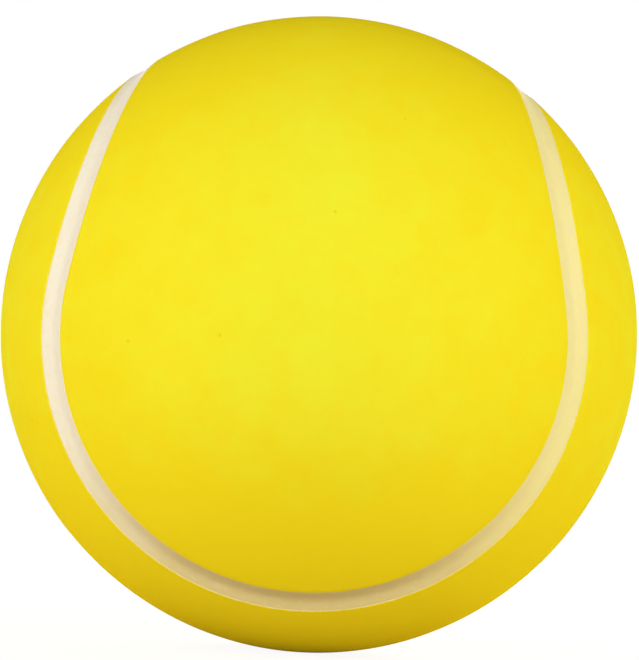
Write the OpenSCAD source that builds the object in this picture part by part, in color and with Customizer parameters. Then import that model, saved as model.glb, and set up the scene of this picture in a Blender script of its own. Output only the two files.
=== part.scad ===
// Tennis ball: a hollow rubber core of two cemented half shells, covered by two
// dumbbell-shaped felt panels whose cut edges meet at one continuous rubber seam.
// The origin is the middle of the ball. +Z is the axis that the seam turns about:
// the upper panel's waist crosses +Z and its lobes face -Y and +Y, and the lower
// panel's waist crosses -Z and its lobes face -X and +X. All sizes are in millimetres.

/* [Ball] */
// Diameter over the felt
ball_d = 67; // [60:0.5:76]

/* [Felt cover] */
// Thickness of the felt cloth
felt_t = 3; // [2.4:0.1:4]
// Thickness of the rubber solution that coats the back of the felt
backing_t = 0.2; // [0.1:0.05:0.4]
// Width of a panel across its waist, from the middle of the seam to the middle of the seam
waist_w = 40; // [32:0.5:44]
// Radius of the rolled edge of the felt beside the seam
lip_r = 0.15; // [0.15:0.05:0.8]

/* [Seam] */
// Width of the seam between the cut edges of the felt
seam_w = 3; // [2.4:0.1:5]
// Depth of the seam's edges below the surface of the ball
seam_sink = 0.05; // [0.05:0.05:0.3]
// Depth of the hollow that runs along the middle of the seam's face
seam_hollow_depth = 0.1; // [0.1:0.05:1]
// Width of the land that the seam keeps beside each cut edge
seam_land_w = 0.2; // [0.15:0.05:0.5]

/* [Core] */
// Wall of the moulded rubber half shells
core_wall = 3.2; // [2.4:0.1:4.5]
// Thickness of the adhesive coat over the whole core
core_coat_t = 0.15; // [0.1:0.05:0.3]
// Thickness of the cement between the rims of the half shells
cement_t = 0.3; // [0.2:0.05:0.6]
// Radius of the bead of cement that squeezes out inside the joint
cement_bead_r = 0.7; // [0.4:0.05:1.2]

/* [Hidden] */
$fn = 96;

// Radii of the layers, from the outside in
ball_r = ball_d / 2;
felt_seat_r = ball_r - felt_t;
backing_seat_r = felt_seat_r - backing_t;
core_r = backing_seat_r - core_coat_t;
core_inner_r = core_r - core_wall;

// The seam is four equal circle arcs on the ball, one round the end of each lobe. They run
// smoothly into each other at the four crossings, on the equator between neighbouring lobes.
quarter_turn = 90;
half_turn = 180;
full_turn = 360;
crossing_turn = quarter_turn / 2;
arcs = 4;
// Latitude of the end of a lobe, and of its middle
lobe_end = quarter_turn - waist_w / ball_d * half_turn / PI;
lobe_reach = atan((1 / cos(crossing_turn) - cos(lobe_end)) / sin(lobe_end));
lobe_latitude = lobe_end - lobe_reach;
// Turn about a lobe's middle from its end to a crossing
arc_turn = acos(-tan(lobe_latitude) / tan(lobe_reach));
// Straight steps along each arc
arc_steps = 48;
// Angle from the middle of the seam to the cut edge of the felt
seam_half_angle = seam_w / ball_d * half_turn / PI;

// The rolled lip rises from its foot, where the felt's cut edge ends, to the ball's surface.
// Its centre lies a share of its radius below the surface, so that it meets it at an angle.
lip_sink_share = 0.9;
lip_foot_r = ball_r - lip_sink_share * lip_r;
lip_steps = 5;

// The seam's face sinks from a narrow land beside each lip to its floor in the middle
seam_face_r = ball_r - seam_sink;
seam_floor_r = seam_face_r - seam_hollow_depth;
hollow_half_angle = seam_half_angle - seam_land_w / ball_d * full_turn / PI;
hollow_steps = 6;
// How far the cut that hollows the seam runs on past the land, as a share of its half width
hollow_run_share = 1.15;

// Radius at which the cutting solids close, outside the ball
closing_r = 2 * ball_r;

// Which way each arc's lobe points: down for the upper panel's, up for the lower panel's
function lobe_sign(arc) = arc % 2 == 0 ? -1 : 1;

// Point of the seam by arc and turn about the lobe's middle, at a radius from the middle of
// the ball and at an angle beside the middle of the seam, towards the upper panel
function seam_point(arc, turn, radius, beside) =
    let (
        heading = arc * quarter_turn - quarter_turn,
        sign = lobe_sign(arc),
        reach = lobe_reach + sign * beside,
        outward = cos(reach) * cos(lobe_latitude)
            - sin(reach) * cos(turn) * sin(lobe_latitude),
        across = sin(reach) * sin(turn),
        upward = cos(reach) * sin(lobe_latitude) + sin(reach) * cos(turn) * cos(lobe_latitude)
    )
    radius * [
        cos(heading) * outward - sin(heading) * across,
        sin(heading) * outward + cos(heading) * across,
        sign * upward
    ];

// Closed ring of points along the whole seam
function seam_ring(radius, beside) = [
    for (arc = [0 : arcs - 1], step = [0 : arc_steps - 1])
        seam_point(arc, arc_turn * (2 * step / arc_steps - 1), radius, beside)
];
ring_count = arcs * arc_steps;

// Boundary between the upper felt panel and the seam, as [radius, angle] pairs: straight out
// to the foot of the lip, over the lip, and out of the ball
felt_edge = [
    for (step = [0 : lip_steps])
        let (
            turn = quarter_turn * step / lip_steps,
            inward = lip_r * (1 - cos(turn)),
            high = lip_foot_r + lip_r * sin(turn)
        )
        [norm([high, inward]), seam_half_angle + atan(inward / high)]
];
felt_edge_to_outside = concat(felt_edge, [[closing_r, felt_edge[lip_steps][1]]]);

// Solid swept along the seam by a closed cross-section of [radius, angle] pairs
module swept(section) {
    count = len(section);
    polyhedron(
        points = [for (corner = section) each seam_ring(corner[0], corner[1])],
        faces = [
            for (side = [0 : count - 1], i = [0 : ring_count - 1])
                let (next = (i + 1) % ring_count, over = (side + 1) % count)
                [
                    side * ring_count + i, side * ring_count + next,
                    over * ring_count + next, over * ring_count + i
                ]
        ]
    );
}

// Everything on the upper panel's side of a cut, out from the middle of the ball. The cut
// is given as [radius, angle] pairs, from the inside to the closing radius. There the solid
// is closed by strips that join each point to its twin across x = 0.
module upper_region(cut) {
    last = len(cut) - 1;
    middle = len(cut) * ring_count;
    half = ring_count / 2;
    // Twins across x = 0 lie evenly before and after the end of the lobe that faces -Y
    start = arc_steps / 2;
    closing = [
        for (i = [0 : half - 1])
            let (
                a = (start + i) % ring_count,
                b = (start + i + 1) % ring_count,
                c = (start - i - 1 + ring_count) % ring_count,
                d = (start - i + ring_count) % ring_count
            )
            i == 0 ? [a, c, b] : i == half - 1 ? [a, d, b] : [a, d, c, b]
    ];
    polyhedron(
        points = concat(
            [for (corner = cut) each seam_ring(corner[0], corner[1])],
            [[0, 0, 0]]
        ),
        faces = concat(
            [for (i = [0 : ring_count - 1]) [middle, i, (i + 1) % ring_count]],
            [
                for (ring = [0 : last - 1], i = [0 : ring_count - 1])
                    let (next = (i + 1) % ring_count)
                    [
                        ring * ring_count + i, (ring + 1) * ring_count + i,
                        (ring + 1) * ring_count + next, ring * ring_count + next
                    ]
            ],
            [for (face = closing) [for (corner = face) last * ring_count + corner]]
        )
    );
}

// Shell between two spheres
module shell(outer_r, inner_r) {
    difference() {
        sphere(r = outer_r);
        sphere(r = inner_r);
    }
}

// The lower panel is the upper one, turned over
module turned_over() rotate(half_turn, [1, 1, 0]) children();

// Rubber half shell, with its rim buffed back for half of the cement
module core_half_upper() {
    color("dimgray")
        intersection() {
            shell(core_r, core_inner_r);
            translate([-ball_d, -ball_d, cement_t / 2]) cube([2 * ball_d, 2 * ball_d, ball_d]);
        }
}

module core_half_lower() mirror([0, 0, 1]) core_half_upper();

// Cement between the two rims, with the bead that squeezes out inside
module core_joint_cement() {
    color("black")
        rotate_extrude() {
            intersection() {
                translate([core_inner_r - cement_t / 2, -cement_t / 2]) square([ball_r, cement_t]);
                circle(r = core_r);
            }
            intersection() {
                translate([core_inner_r, 0]) circle(r = cement_bead_r);
                circle(r = core_inner_r);
            }
        }
}

// Coat of rubber solution over the whole core
module core_adhesive_coat() color("saddlebrown") shell(backing_seat_r, core_r);

// Rubber solution on the back of each felt panel
module felt_backing_upper() {
    color("tan")
        intersection() {
            shell(felt_seat_r, backing_seat_r);
            upper_region([[closing_r, seam_half_angle]]);
        }
}

module felt_backing_lower() turned_over() felt_backing_upper();

// Felt panels, with rolled edges beside the seam
module felt_panel_upper() {
    color([0.93, 0.90, 0.18])
        intersection() {
            shell(ball_r, felt_seat_r);
            upper_region(felt_edge_to_outside);
        }
}

module felt_panel_lower() turned_over() felt_panel_upper();

// Vulcanised rubber of the seam, which fills the gap between the panels down to the coat
module seam_rubber() {
    hollow = [
        for (step = [0 : hollow_steps])
            let (share = hollow_run_share * (2 * step / hollow_steps - 1))
            [seam_floor_r + seam_hollow_depth * pow(share, 2), hollow_half_angle * share]
    ];
    above = [
        [closing_r, hollow[hollow_steps][1]],
        [closing_r, hollow[0][1]]
    ];
    color([0.96, 0.93, 0.82])
        difference() {
            shell(seam_face_r, backing_seat_r);
            upper_region(felt_edge_to_outside);
            turned_over() upper_region(felt_edge_to_outside);
            swept(concat(above, hollow));
        }
}

core_half_upper();
core_half_lower();
core_joint_cement();
core_adhesive_coat();
felt_backing_upper();
felt_backing_lower();
felt_panel_upper();
felt_panel_lower();
seam_rubber();
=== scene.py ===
from math import acos, asin, atan, atan2, cos, pi, radians, sin, sqrt, tan

import bpy
from mathutils import Matrix, Vector, noise


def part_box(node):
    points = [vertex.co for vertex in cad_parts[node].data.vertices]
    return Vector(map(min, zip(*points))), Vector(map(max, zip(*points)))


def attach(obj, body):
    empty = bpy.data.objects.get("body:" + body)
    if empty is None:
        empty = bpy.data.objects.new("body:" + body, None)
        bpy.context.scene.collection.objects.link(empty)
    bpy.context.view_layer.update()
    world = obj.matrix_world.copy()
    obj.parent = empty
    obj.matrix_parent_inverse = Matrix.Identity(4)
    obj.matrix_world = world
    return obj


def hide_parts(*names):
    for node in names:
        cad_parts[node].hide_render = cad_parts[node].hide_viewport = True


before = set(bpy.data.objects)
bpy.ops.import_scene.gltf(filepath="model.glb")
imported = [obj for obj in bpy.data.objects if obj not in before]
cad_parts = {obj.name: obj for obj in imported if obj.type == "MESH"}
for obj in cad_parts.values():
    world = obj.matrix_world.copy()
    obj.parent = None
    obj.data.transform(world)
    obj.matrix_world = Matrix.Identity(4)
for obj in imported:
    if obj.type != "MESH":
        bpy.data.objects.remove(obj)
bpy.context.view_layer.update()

# A tennis ball: two felt panels round one shallow rubber seam, over the hidden core.
# Lengths are in metres and angles in radians. The ball's middle is the origin.

MM = 0.001

# Sizes of the felt and of the seam, as the solids have them. The radii of the ball and of the
# core's coat are read from the tops of their solids.
ball_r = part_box("felt_panel_upper")[1][2]
felt_t = 3 * MM
waist_w = 40 * MM
lip_r = 0.15 * MM
lip_sink_share = 0.9
seam_w = 3 * MM
seam_sink = 0.05 * MM
seam_hollow_depth = 0.1 * MM
seam_land_w = 0.2 * MM
lip_foot_r = ball_r - lip_sink_share * lip_r
felt_seat_r = ball_r - felt_t
seam_face_r = ball_r - seam_sink
seam_root_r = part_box("core_adhesive_coat")[1][2]
seam_half_angle = seam_w / 2 / ball_r

# How finely the pieces are made
steps_per_arc = 180
felt_rows = 36
lip_rows = 9
cut_rows = 4
seat_rows = 14
hollow_rows = 20
sharpest_smooth_edge = radians(50)

# How close together points lie that are welded into one
felt_weld_reach = 0.004 * MM
seam_weld_reach = 0.01 * MM

# How far the seam's edges reach into the felt's lips, so that no gap shows between them
seam_tuck = 0.1 * MM

# The seam's four arcs, one round the end of each lobe, and where each of them ends
arcs = 4
quarter_turn = pi / 2
lobe_end = quarter_turn - waist_w / 2 / ball_r
lobe_reach = atan((sqrt(2) - cos(lobe_end)) / sin(lobe_end))
lobe_latitude = lobe_end - lobe_reach
arc_turn = acos(-tan(lobe_latitude) / tan(lobe_reach))


def lobe_sign(arc):
    """-1 for a lobe of the upper panel, which points down, and 1 for one of the lower panel."""
    return -1 if arc % 2 == 0 else 1


def lobe_axes(arc):
    """The lobe's middle, the way from there to its end, and the way along the equator."""
    heading = (arc - 1) * quarter_turn
    level = Vector((cos(heading), sin(heading), 0))
    up = Vector((0, 0, lobe_sign(arc)))
    middle = level * cos(lobe_latitude) + up * sin(lobe_latitude)
    to_end = up * cos(lobe_latitude) - level * sin(lobe_latitude)
    return middle, to_end, Vector((-sin(heading), cos(heading), 0))


def beside_seam(arc, turn, beside):
    """Direction of a point that lies at an angle beside the seam, towards the upper panel."""
    middle, to_end, along = lobe_axes(arc)
    reach = lobe_reach + lobe_sign(arc) * beside
    return middle * cos(reach) + (to_end * cos(turn) + along * sin(turn)) * sin(reach)


def angle_from_seam(point):
    """Angle between a point and the nearest point on the middle of the seam."""
    rounding = radians(0.01)
    beside = []
    for arc in range(arcs):
        middle, to_end, along = lobe_axes(arc)
        turn = atan2(point.dot(along), point.dot(to_end))
        if abs(turn) <= arc_turn + rounding:
            beside.append(abs(middle.angle(point) - lobe_reach))
    return min(beside)


def upper_spine(arc, turn):
    """Direction of the point on the upper panel's middle line that faces a point of the seam."""
    middle, to_end, along = lobe_axes(arc)
    if lobe_sign(arc) < 0:
        return middle
    share = (turn + arc_turn) / (2 * arc_turn)
    rise = (pi + 2 * lobe_latitude) * share - lobe_latitude
    return Vector((0, 0, sin(rise))) - along * cos(rise)


# Ways of working that the pieces share


def deselect_all():
    if bpy.context.object and bpy.context.object.mode != "OBJECT":
        bpy.ops.object.mode_set(mode="OBJECT")
    bpy.ops.object.select_all(action="DESELECT")


def only(piece):
    deselect_all()
    piece.select_set(True)
    bpy.context.view_layer.objects.active = piece


def name_piece(name):
    piece = bpy.context.object
    piece.name = name
    piece.data.name = name
    return piece


def weld(piece, reach):
    """Closes the mesh where its points meet, turns its faces outwards and smooths it."""
    only(piece)
    bpy.ops.object.mode_set(mode="EDIT")
    bpy.ops.mesh.select_all(action="SELECT")
    bpy.ops.mesh.remove_doubles(threshold=reach)
    bpy.ops.mesh.dissolve_degenerate(threshold=reach)
    bpy.ops.mesh.normals_make_consistent(inside=False)
    bpy.ops.object.mode_set(mode="OBJECT")
    bpy.ops.object.shade_smooth_by_angle(angle=sharpest_smooth_edge)


def turned_copy(piece, name, turn):
    """A copy with its own mesh, turned about the ball's middle."""
    copy = piece.copy()
    copy.data = piece.data.copy()
    copy.name = name
    copy.data.name = name
    bpy.context.collection.objects.link(copy)
    copy.data.transform(turn)
    return copy


def mark_seam_distance(piece):
    """Keeps each point's distance from the middle of the seam, in millimetres, for the finish."""
    distance = piece.data.attributes.new("seam_distance", "FLOAT", "POINT")
    for corner, kept in zip(piece.data.vertices, distance.data):
        kept.value = angle_from_seam(corner.co) * ball_r / MM


# The felt panels


def felt_section():
    """The upper panel's section from its middle line to the seam, down the cut edge and back
    under, as (share of the way to the seam, angle beside the seam, radius). The rows of the
    outer face lie closer together towards the seam."""
    closeness = 1.25
    lip_end = seam_half_angle + lip_r / ball_r
    section = []
    for row in range(felt_rows):
        section.append((1 - (1 - row / felt_rows) ** closeness, lip_end, ball_r))
    for row in range(lip_rows + 1):
        turn = asin(lip_sink_share) * (1 - row / lip_rows)
        inward = lip_r * (1 - cos(turn))
        section.append((1, seam_half_angle + inward / ball_r, lip_foot_r + lip_r * sin(turn)))
    for row in range(1, cut_rows + 1):
        share = row / cut_rows
        section.append((1, seam_half_angle, lip_foot_r * (1 - share) + felt_seat_r * share))
    for row in range(1, seat_rows + 1):
        section.append((1 - row / seat_rows, seam_half_angle, felt_seat_r))
    return section


def felt_point(section, station, row):
    """Place of the point in this row of the section, at this station round the panel."""
    share, beside, radius = section[row]
    arc, step = divmod(station % (arcs * steps_per_arc), steps_per_arc)
    turn = arc_turn * (2 * step / steps_per_arc - 1)
    edge = beside_seam(arc, turn, beside)
    return upper_spine(arc, turn).slerp(edge, share) * radius


def make_felt(name):
    """The upper panel, as one grid that wraps round it from its middle line and back under. The
    grid starts as a square, 1 across, so a point's place in it gives its station and row."""
    section = felt_section()
    stations = arcs * steps_per_arc
    rows = len(section) - 1
    deselect_all()
    bpy.ops.mesh.primitive_grid_add(x_subdivisions=stations, y_subdivisions=rows, size=1)
    felt = name_piece(name)
    for corner in felt.data.vertices:
        station = round((corner.co.x + 0.5) * stations)
        row = round((corner.co.y + 0.5) * rows)
        corner.co = felt_point(section, station, row)
    weld(felt, felt_weld_reach)
    return felt


def ruffle(felt):
    """The pressed cloth isn't a perfect ball: it swells and sinks by hundredths of a millimetre."""
    swell = 0.03 * MM
    size = 7 * MM
    for corner in felt.data.vertices:
        if corner.co.length > lip_foot_r:
            corner.co += corner.co.normalized() * swell * noise.noise(corner.co / size)


felt_upper = make_felt("felt_upper")
turn_over = Matrix.Rotation(pi, 4, Vector((1, 1, 0)).normalized())
felt_lower = turned_copy(felt_upper, "felt_lower", turn_over)
for felt in (felt_upper, felt_lower):
    ruffle(felt)
    mark_seam_distance(felt)

# The seam


def seam_section():
    """Points round the seam's section, as (angle beside the seam, radius). Its edges reach a
    little way into the felt's lips."""
    edge = seam_half_angle + seam_tuck / ball_r
    land = seam_half_angle - seam_land_w / ball_r
    face = [(edge, seam_face_r)]
    for row in range(hollow_rows + 1):
        share = 1 - 2 * row / hollow_rows
        face.append((land * share, seam_face_r - seam_hollow_depth * (1 - share**2)))
    face.append((-edge, seam_face_r))
    root = [(-edge, seam_root_r), (0, seam_root_r), (edge, seam_root_r)]
    return face + root


def make_seam(name):
    """One arc is spun from its section, and three more copies of it close the loop."""
    section = seam_section()
    middle = lobe_axes(0)[0]
    deselect_all()
    bpy.ops.mesh.primitive_circle_add(vertices=len(section), radius=seam_w)
    seam = name_piece(name)
    for corner, (beside, radius) in zip(seam.data.vertices, section):
        corner.co = beside_seam(0, -arc_turn, beside) * radius
    only(seam)
    bpy.ops.object.mode_set(mode="EDIT")
    bpy.ops.mesh.select_all(action="SELECT")
    bpy.ops.mesh.spin(steps=steps_per_arc, angle=2 * arc_turn, center=(0, 0, 0), axis=-middle)
    bpy.ops.object.mode_set(mode="OBJECT")
    parts = [seam]
    for arc in range(1, arcs):
        turn = Matrix.Rotation(arc * quarter_turn, 4, "Z")
        if lobe_sign(arc) > 0:
            turn = Matrix.Scale(-1, 4, Vector((0, 0, 1))) @ turn
        parts.append(turned_copy(seam, f"{name}_arc", turn))
    only(seam)
    for part in parts:
        part.select_set(True)
    bpy.ops.object.join()
    weld(seam, seam_weld_reach)
    mark_seam_distance(seam)
    return seam


seam = make_seam("seam_loop")

# The finishes


class Amount:
    """The output of a node. Arithmetic on it adds Math nodes, and | takes the larger."""

    def __init__(self, nodes, socket):
        self.nodes = nodes
        self.socket = socket

    def math(self, operation, *numbers):
        return self.nodes.node("ShaderNodeMath", {"operation": operation}, dict(enumerate(numbers)))

    def __add__(self, other):
        return self.math("ADD", self, other)

    def __sub__(self, other):
        return self.math("SUBTRACT", self, other)

    def __rsub__(self, other):
        return self.math("SUBTRACT", other, self)

    def __mul__(self, other):
        return self.math("MULTIPLY", self, other)

    def __or__(self, other):
        return self.math("MAXIMUM", self, other)

    __radd__ = __add__
    __rmul__ = __mul__


class Nodes:
    """A tree of shader nodes, for a finish or for the air round the ball."""

    def __init__(self, owner):
        owner.use_nodes = True
        self.owner = owner
        self.tree = owner.node_tree

    def node(self, kind, settings, inputs, output=0):
        """Adds a node: its settings first, then the values or links of its sockets."""
        made = self.tree.nodes.new(kind)
        for setting, value in settings.items():
            setattr(made, setting, value)
        for socket, value in inputs.items():
            self.feed(made.inputs[socket], value)
        return Amount(self, made.outputs[output])

    def feed(self, socket, value):
        if isinstance(value, Amount):
            self.tree.links.new(value.socket, socket)
        elif isinstance(value, tuple) and socket.type == "RGBA":
            socket.default_value = (*value, 1)
        else:
            socket.default_value = value

    def in_plain_view(self):
        """1 where the camera sees a thing itself, in a mirror or through glass, and 0 for light."""
        seen = self.node("ShaderNodeLightPath", {}, {}, "Is Camera Ray")
        for ray in ("Is Glossy Ray", "Is Transmission Ray"):
            seen = seen | self.node("ShaderNodeLightPath", {}, {}, ray)
        return seen

    def mix(self, amount, first, second):
        """From the first shader to the second as the amount goes from 0 to 1."""
        return self.node("ShaderNodeMixShader", {}, {0: amount, 1: first, 2: second})


class Finish(Nodes):
    """A material, with its shader and the nodes that feed it."""

    def __init__(self, name, **constants):
        super().__init__(bpy.data.materials.new(name))
        self.shader = self.tree.nodes["Principled BSDF"]
        for socket, value in constants.items():
            self.shader.inputs[socket.replace("_", " ")].default_value = value
        self.place = self.node("ShaderNodeTexCoord", {}, {}, "Object")

    def along(self, axis):
        """How far along X, Y or Z a point lies from the ball's middle, in metres."""
        return self.node("ShaderNodeSeparateXYZ", {}, {0: self.place}, axis)

    def noise(self, size, detail=2.0, roughness=0.5, distortion=0.0):
        """Noise from 0 to 1 whose lumps are about this size across, in metres."""
        lumps = {"Vector": self.place, "Scale": 1 / size, "Detail": detail}
        lumps.update({"Roughness": roughness, "Distortion": distortion})
        return self.node("ShaderNodeTexNoise", {}, lumps)

    def ramp(self, amount, low, high):
        """0 below low, 1 above high, and smooth between them."""
        settings = {"interpolation_type": "SMOOTHSTEP"}
        span = {"Value": amount, "From Min": low, "From Max": high}
        return self.node("ShaderNodeMapRange", settings, span)

    def blend(self, amount, first, second):
        """From the first colour to the second as the amount goes from 0 to 1. The Mix node's
        sockets for colours are 6 and 7, and its output for colours is 2."""
        colours = {0: amount, 6: first, 7: second}
        return self.node("ShaderNodeMix", {"data_type": "RGBA"}, colours, 2)

    def seam_distance(self):
        """Distance from the middle of the seam, in millimetres."""
        return self.node("ShaderNodeAttribute", {"attribute_name": "seam_distance"}, {}, "Fac")

    def colour(self, colour):
        self.feed(self.shader.inputs["Base Color"], colour)

    def roughness(self, amount):
        self.feed(self.shader.inputs["Roughness"], amount)

    def bump(self, height, distance, strength):
        sockets = {"Height": height, "Distance": distance, "Strength": strength}
        self.feed(self.shader.inputs["Normal"], self.node("ShaderNodeBump", {}, sockets))


# The seam's edge, in millimetres from its middle, as the seam distance is measured
seam_edge = seam_w / 2 / MM


def felt_finish():
    """Lemon felt with a short close nap. Painted light and shade make it greener in the middle of a
    lobe, and more golden by the seam and towards the panels' waists. It is faintly mottled, with a
    few pinhole specks. The rubber of the seam coats its lip."""
    golden_lemon = (0.91, 0.765, 0.015)
    green_lemon = (0.87, 0.89, 0.038)
    pinhole = (0.80, 0.62, 0.010)
    rubbery_cream = (0.87, 0.79, 0.54)
    # These four are in millimetres, as the seam distance is
    by_the_seam, mid_lobe = 3, 29
    coat_fade = 0.14
    coat_raggedness = 0.4
    waist_start, waist_full = 0.2 * ball_r, 0.85 * ball_r
    speck_spacing = 5 * MM
    speck_patch = 11 * MM
    # Where a speck starts to fade and where it ends, as shares of the spacing
    speck_dark_share, speck_rim_share = 0.015, 0.05
    nap_depth = 0.05 * MM

    felt = Finish("felt_lemon", Specular_IOR_Level=0.0)
    mottle = felt.noise(3.5 * MM, 3, 0.55)
    cloud = felt.noise(1.2 * MM, 3, 0.6)
    nap = felt.noise(0.28 * MM, 3, 0.7)

    height = felt.along("Z")
    # Painted shade: the felt turns more golden high and low on the ball, at the panels' waists.
    waist_painted_shade = felt.ramp(height | (0 - height), waist_start, waist_full)
    # Painted light and shade: greener in the middle of a lobe and more golden by the seam. The
    # noises on the next line are the felt's own random mottle.
    green_light_and_mottle = 0.2 + 0.6 * felt.ramp(felt.seam_distance(), by_the_seam, mid_lobe) - waist_painted_shade * 0.55
    green_light_and_mottle = green_light_and_mottle + (mottle - 0.5) * 1.0 + (cloud - 0.5) * 0.3 + (nap - 0.5) * 0.1
    colour = felt.blend(green_light_and_mottle, golden_lemon, green_lemon)

    cells = {"Vector": felt.place, "Scale": 1 / speck_spacing}
    from_speck = felt.node("ShaderNodeTexVoronoi", {}, cells)
    few = felt.ramp(felt.noise(speck_patch, 0), 0.53, 0.58)
    speck = (1 - felt.ramp(from_speck, speck_dark_share, speck_rim_share)) * few
    colour = felt.blend(speck * 0.8, colour, pinhole)

    ragged_distance = felt.seam_distance() + (nap - 0.5) * coat_raggedness
    coated = 1 - felt.ramp(ragged_distance, seam_edge, seam_edge + coat_fade)
    felt.colour(felt.blend(coated, colour, rubbery_cream))
    felt.roughness(0.86 + nap * 0.12)
    felt.bump(nap + cloud * 0.4 - speck, nap_depth, 0.2)
    return felt.owner


def seam_finish():
    """Rubber, slightly chalky: whiter on one side of the ball and yellower on the other, with
    painted shade that darkens it to tan underneath, and a faint pink cast in places. Its middle
    looks dished."""
    white = (0.91, 0.88, 0.75)
    yellower_cream = (0.91, 0.85, 0.39)
    tan_shade = (0.74, 0.63, 0.31)
    pinkish = (0.90, 0.75, 0.50)
    yellow_start, yellow_full = -22 * MM, 22 * MM
    shade_start, shade_full = 13 * MM, 29 * MM
    patch_shift = 8 * MM
    # In millimetres, as the seam distance is
    dish_rim = seam_edge + 0.5
    dish_depth = 0.4 * MM

    rubber = Finish("seam_cream", Specular_IOR_Level=0.25)
    cast = rubber.noise(6 * MM, 3, 0.6)
    chalk = rubber.noise(0.9 * MM, 4, 0.65)
    grain = rubber.noise(0.15 * MM, 2)

    across = rubber.along("X")
    height = rubber.along("Z")
    patchy = (cast - 0.5) * patch_shift
    towards_yellow = rubber.ramp(across + patchy, yellow_start, yellow_full)
    # Painted shade: the rubber darkens to tan towards the bottom of the ball.
    shade_below = rubber.ramp(0 - height + patchy, shade_start, shade_full)
    colour = rubber.blend(towards_yellow, white, yellower_cream)
    colour = rubber.blend(shade_below, colour, tan_shade)
    rubber.colour(rubber.blend(rubber.ramp(chalk, 0.45, 0.75) * 0.4, colour, pinkish))

    rubber.roughness(0.5 + chalk * 0.25)
    dish = rubber.ramp(rubber.seam_distance(), 0, dish_rim)
    rubber.bump(dish + chalk * 0.12 + grain * 0.04, dish_depth, 0.9)
    return rubber.owner


def core_finish():
    """Dark moulded rubber with a fine grain and a grey bloom."""
    black = (0.022, 0.022, 0.024)
    bloomed = (0.06, 0.06, 0.062)
    rubber = Finish("core_black", Specular_IOR_Level=0.4)
    bloom = rubber.noise(5 * MM, 4, 0.6)
    grain = rubber.noise(0.4 * MM, 3)
    rubber.colour(rubber.blend(rubber.ramp(bloom, 0.4, 0.8), black, bloomed))
    rubber.roughness(0.5 + bloom * 0.3)
    rubber.bump(grain, 0.05 * MM, 0.3)
    return rubber.owner


def solution_finish():
    """Dried rubber solution: tan, brushed on unevenly, a little glossy where it lies thick."""
    thin = (0.36, 0.25, 0.11)
    thick = (0.22, 0.14, 0.06)
    coat = Finish("solution_tan", Specular_IOR_Level=0.5)
    brushed = coat.noise(3 * MM, 5, 0.6, 1.5)
    coat.colour(coat.blend(coat.ramp(brushed, 0.35, 0.7), thin, thick))
    coat.roughness(0.7 - brushed * 0.4)
    coat.bump(brushed, 0.08 * MM, 0.5)
    return coat.owner


def cement_finish():
    """Cured black cement, glossier than the rubber and slightly lumpy."""
    black = (0.012, 0.012, 0.013)
    greyed = (0.035, 0.034, 0.034)
    cement = Finish("cement_black", Specular_IOR_Level=0.5)
    lumps = cement.noise(1.2 * MM, 3)
    cement.colour(cement.blend(lumps, black, greyed))
    cement.roughness(0.25 + lumps * 0.3)
    cement.bump(lumps, 0.1 * MM, 0.5)
    return cement.owner


def dress(piece, material):
    piece.data.materials.clear()
    piece.data.materials.append(material)


felt_cloth = felt_finish()
dress(felt_upper, felt_cloth)
dress(felt_lower, felt_cloth)
dress(seam, seam_finish())

rubber = core_finish()
solution = solution_finish()
hidden_finishes = {
    "core_half_upper": rubber,
    "core_half_lower": rubber,
    "core_joint_cement": cement_finish(),
    "core_adhesive_coat": solution,
    "felt_backing_upper": solution,
    "felt_backing_lower": solution,
}
for node, material in hidden_finishes.items():
    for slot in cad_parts[node].material_slots:
        slot.material = material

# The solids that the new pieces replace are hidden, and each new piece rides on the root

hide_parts("felt_panel_upper")
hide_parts("felt_panel_lower")
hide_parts("seam_rubber")
for piece, slot in ((felt_upper, "felt"), (felt_lower, "felt"), (seam, "seam_rubber")):
    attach(piece, "root")

# The stage, the light and the camera. The photograph was taken from close by, from a little
# below the ball's middle, and slightly rolled. The picture's sizes are in its pixels.

picture_w, picture_h = 639, 660
picture_ball_r = 318.3
picture_ball_x, picture_ball_y = 318.9, 334.5
camera_azimuth = radians(1.23)
camera_elevation = radians(-8.74)
camera_roll = radians(3.87)
camera_distance = 4.40 * ball_r
level = Vector((sin(camera_azimuth), -cos(camera_azimuth), 0))
to_camera = level * cos(camera_elevation) + Vector((0, 0, sin(camera_elevation)))
right = Vector((cos(camera_azimuth), sin(camera_azimuth), 0))
up = to_camera.cross(right)


def add_floor():
    """A plain pale floor. It looks white, but for the ball's shadow close by."""
    floor_w = 6
    gap = 0.05 * MM
    paint = (0.80, 0.70, 0.59)
    glow_strength = 1.15
    white_by_ball = 0.8
    shadow_start, shadow_end = 1.5 * ball_r, 5 * ball_r
    deselect_all()
    bpy.ops.mesh.primitive_plane_add(size=floor_w, location=(0, 0, -ball_r - gap))
    bpy.ops.object.transform_apply(location=True)
    floor = name_piece("floor")
    pale = Finish("floor_pale", Roughness=0.9, Specular_IOR_Level=0.0)
    pale.colour(paint)
    away = pale.node("ShaderNodeVectorMath", {"operation": "LENGTH"}, {0: pale.place}, "Value")
    clear = pale.ramp(away, shadow_start, shadow_end)
    white = white_by_ball + (1 - white_by_ball) * clear
    glow = pale.node("ShaderNodeEmission", {}, {"Color": (1, 1, 1), "Strength": glow_strength})
    lit = Amount(pale, pale.shader.outputs[0])
    seen = pale.mix(pale.in_plain_view() * white, lit, glow)
    pale.feed(pale.tree.nodes["Material Output"].inputs[0], seen)
    dress(floor, pale.owner)


def add_air(colour, strength):
    """Soft light from all round, in front of a white backdrop."""
    air = Nodes(bpy.data.worlds.new("studio"))
    bpy.context.scene.world = air.owner
    light = air.node("ShaderNodeBackground", {}, {"Color": colour, "Strength": strength})
    backdrop = air.node("ShaderNodeBackground", {}, {"Color": (1, 1, 1), "Strength": 1})
    seen = air.mix(air.in_plain_view(), light, backdrop)
    air.feed(air.tree.nodes["World Output"].inputs[0], seen)


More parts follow.
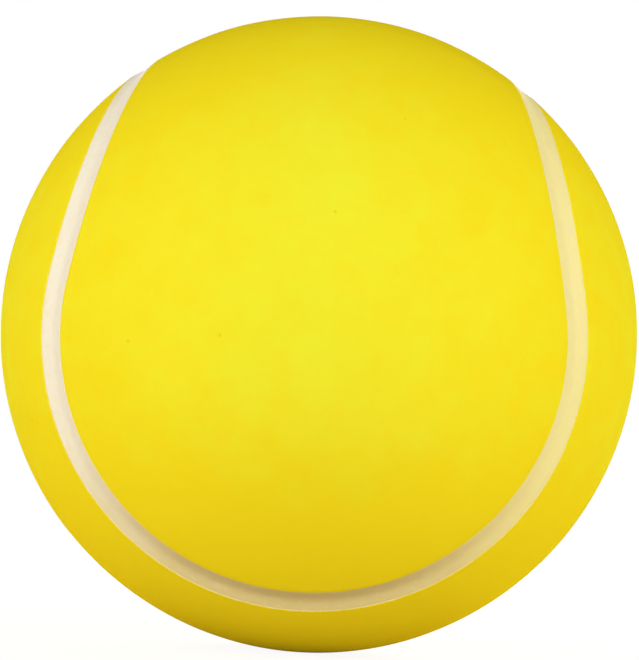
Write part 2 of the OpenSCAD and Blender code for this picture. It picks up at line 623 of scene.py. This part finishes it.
def add_lamp(name, towards, size, watts, colour):
    """A soft lamp that faces the ball."""
    lamp = bpy.data.lights.new(name, "AREA")
    lamp.shape = "RECTANGLE"
    lamp.size, lamp.size_y = size
    lamp.energy = watts
    lamp.color = colour
    holder = bpy.data.objects.new(name, lamp)
    bpy.context.collection.objects.link(holder)
    away = towards.normalized()
    holder.location = away * lamp_distance
    holder.rotation_mode = "QUATERNION"
    holder.rotation_quaternion = away.to_track_quat("Z", "Y")


def add_camera():
    """The photograph's camera. Its shift puts the ball's middle at the photographed place."""
    camera = bpy.data.cameras.new("camera")
    camera.sensor_width = 36
    focal_pixels = picture_ball_r * sqrt((camera_distance / ball_r) ** 2 - 1)
    camera.lens = focal_pixels * camera.sensor_width / picture_h
    camera.shift_x = (picture_w / 2 - picture_ball_x) / picture_h
    camera.shift_y = (picture_ball_y - picture_h / 2) / picture_h
    camera.clip_start = 10 * MM
    holder = bpy.data.objects.new("camera", camera)
    bpy.context.collection.objects.link(holder)
    rolled_right = right * cos(camera_roll) + up * sin(camera_roll)
    rolled_up = up * cos(camera_roll) - right * sin(camera_roll)
    turn = Matrix((rolled_right, rolled_up, to_camera)).transposed().to_4x4()
    holder.matrix_world = Matrix.Translation(to_camera * camera_distance) @ turn
    bpy.context.scene.camera = holder


# The lamps all stand at one distance: two in front, one at each side and one behind. The way
# to each is a sum of steps towards or away from the camera, to the side and up.
lamp_distance = 0.6
square, tall, low = (0.4, 0.4), (0.3, 0.5), (0.4, 0.12)
ahead = to_camera * 1.6
abreast = to_camera * 0.15
lift = up * 0.15
high = up * 0.22

add_floor()
add_camera()
add_air(colour=(1.0, 0.72, 0.50), strength=0.24)
add_lamp("front_right", ahead + right + lift, square, watts=2.05, colour=(0.96, 1.0, 0.86))
add_lamp("front_left", ahead - right + lift, square, watts=3.30, colour=(0.96, 1.0, 0.96))
add_lamp("side_right", abreast + right + lift, tall, watts=1.80, colour=(1.0, 0.97, 0.84))
add_lamp("side_left", abreast - right + lift, tall, watts=1.05, colour=(1.0, 0.97, 0.98))
add_lamp("behind", high - to_camera, low, watts=2.8, colour=(1.0, 0.98, 0.92))

bpy.context.scene.view_settings.view_transform = "Standard"
